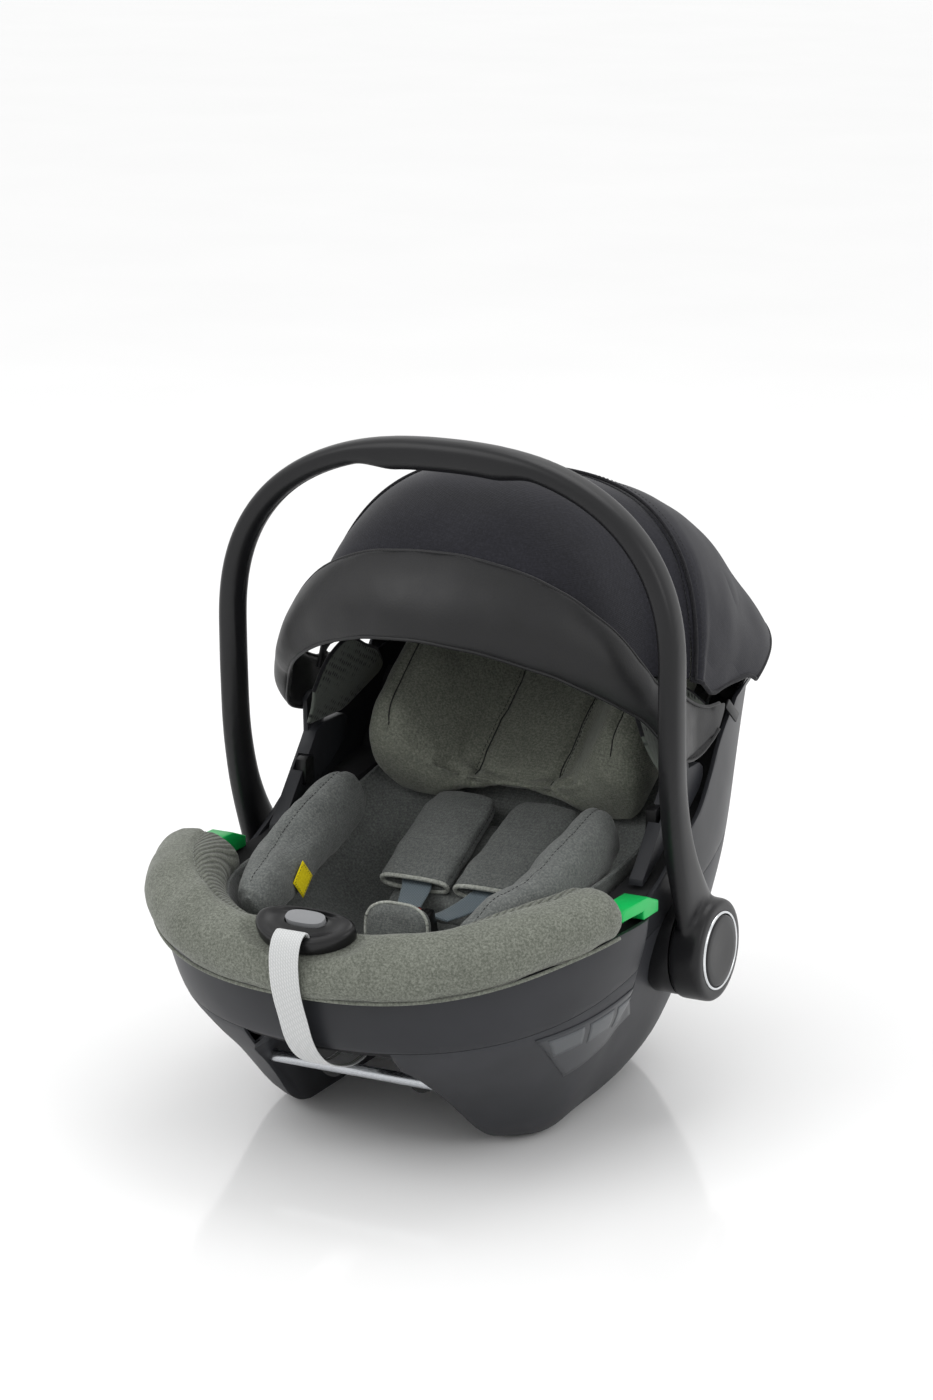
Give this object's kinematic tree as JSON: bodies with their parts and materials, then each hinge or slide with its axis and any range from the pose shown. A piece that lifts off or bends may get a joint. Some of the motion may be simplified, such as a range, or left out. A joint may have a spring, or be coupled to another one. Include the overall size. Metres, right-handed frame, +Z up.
{
  "type": "infant car seat",
  "caption": "Infant car seat with carry handle, folding canopy and padded visor, headrest, harness, belt guides and a runner base with locking bars.",
  "frame": {"origin": "centre of the whole seat's footprint, on the floor", "axes": "+Z up, -Y towards the foot end, +X across the seat to the child's left"},
  "size_m": [0.442, 0.6258, 0.5545],
  "materials": {
    "shell_plastic": "satin moulded",
    "band_plastic": "satin moulded",
    "foam": "expanded foam",
    "steel": "zinc plated",
    "black_plastic": "fine texture",
    "label_film": "satin film",
    "green_plastic": "satin",
    "chrome": "bright",
    "grey_button": "satin",
    "red_plastic": "satin",
    "seat_fabric": "melange knit",
    "insert_fabric": "melange knit",
    "mesh_fabric": "spacer mesh",
    "canopy_fabric": "smooth knit",
    "visor_leatherette": "soft leatherette",
    "webbing_grey": "woven webbing",
    "webbing_light": "woven webbing",
    "yellow_label": "woven label"
  },
  "bodies": {
    "seat": {"lower_shell": "shell_plastic", "upper_shell": "band_plastic", "rear_lip": "band_plastic", "foam_liner": "foam", "front_bar": "steel", "rear_bar": "steel", "hook_tabs": "black_plastic", "shell_screws": "steel", "label_plate": "label_film", "belt_guide_left": "green_plastic", "belt_guide_right": "green_plastic", "hub_mount_left": "black_plastic", "hub_mount_right": "black_plastic", "side_trim_left": "band_plastic", "side_trim_right": "band_plastic", "mesh_liner_left": "mesh_fabric", "mesh_liner_right": "mesh_fabric", "seat_cover": "seat_fabric", "insert_cushion": "insert_fabric", "rim_cushion": "seat_fabric", "adjuster_bezel": "black_plastic", "adjuster_strap": "webbing_light", "crotch_pad": "insert_fabric", "buckle_body": "black_plastic", "harness_strap_left": "webbing_grey", "harness_strap_right": "webbing_grey", "shoulder_pad_left": "insert_fabric", "shoulder_pad_right": "insert_fabric", "bolster_tag": "yellow_label", "canopy_rear": "canopy_fabric", "canopy_strut_left": "black_plastic", "canopy_strut_right": "black_plastic"},
    "handle": {"handle_arch": "black_plastic", "handle_ring_left": "chrome", "handle_ring_right": "chrome"},
    "handle_press_left": {"handle_button_left": "black_plastic"},
    "handle_press_right": {"handle_button_right": "black_plastic"},
    "release_left": {"release_button_left": "black_plastic"},
    "release_right": {"release_button_right": "black_plastic"},
    "adjuster_press": {"adjuster_button": "grey_button"},
    "buckle_press": {"buckle_button": "red_plastic"},
    "headrest": {"headrest_shell": "black_plastic", "headrest_cushion": "seat_fabric", "wing_tag": "yellow_label"},
    "canopy": {"visor": "visor_leatherette", "canopy_bow": "black_plastic", "canopy_front": "canopy_fabric"}
  },
  "joints": [
    {"name": "handle_swing", "type": "hinge", "parent": "seat", "child": "handle", "pos_m": [0, 0.0214, 0.137], "axis": [-1, 0, 0], "range_deg": [0, 112]},
    {"name": "handle_button_left_press", "type": "slide", "parent": "handle", "child": "handle_press_left", "axis": [1, 0, 0], "range_m": [0, 0.0035], "stiffness_N_per_m": 600, "springref_m": -0.002},
    {"name": "handle_button_right_press", "type": "slide", "parent": "handle", "child": "handle_press_right", "axis": [-1, 0, 0], "range_m": [0, 0.0035], "stiffness_N_per_m": 600, "springref_m": -0.002},
    {"name": "release_button_left_press", "type": "slide", "parent": "seat", "child": "release_left", "axis": [-1, 0, 0], "range_m": [0, 0.003], "stiffness_N_per_m": 500, "springref_m": -0.002},
    {"name": "release_button_right_press", "type": "slide", "parent": "seat", "child": "release_right", "axis": [1, 0, 0], "range_m": [0, 0.003], "stiffness_N_per_m": 500, "springref_m": -0.002},
    {"name": "adjuster_button_press", "type": "slide", "parent": "seat", "child": "adjuster_press", "axis": [0, 0.4067, -0.9135], "range_m": [0, 0.0025], "stiffness_N_per_m": 600, "springref_m": -0.002},
    {"name": "buckle_button_press", "type": "slide", "parent": "seat", "child": "buckle_press", "axis": [0, 0.342, -0.9397], "range_m": [0, 0.003], "stiffness_N_per_m": 900, "springref_m": -0.002},
    {"name": "headrest_height", "type": "slide", "parent": "seat", "child": "headrest", "axis": [0, 0.7944, 0.6073], "range_m": [0, 0.03]},
    {"name": "canopy_fold", "type": "hinge", "parent": "seat", "child": "canopy", "pos_m": [0, 0.0364, 0.297], "axis": [-1, 0, 0], "range_deg": [0, 45]}
  ]
}
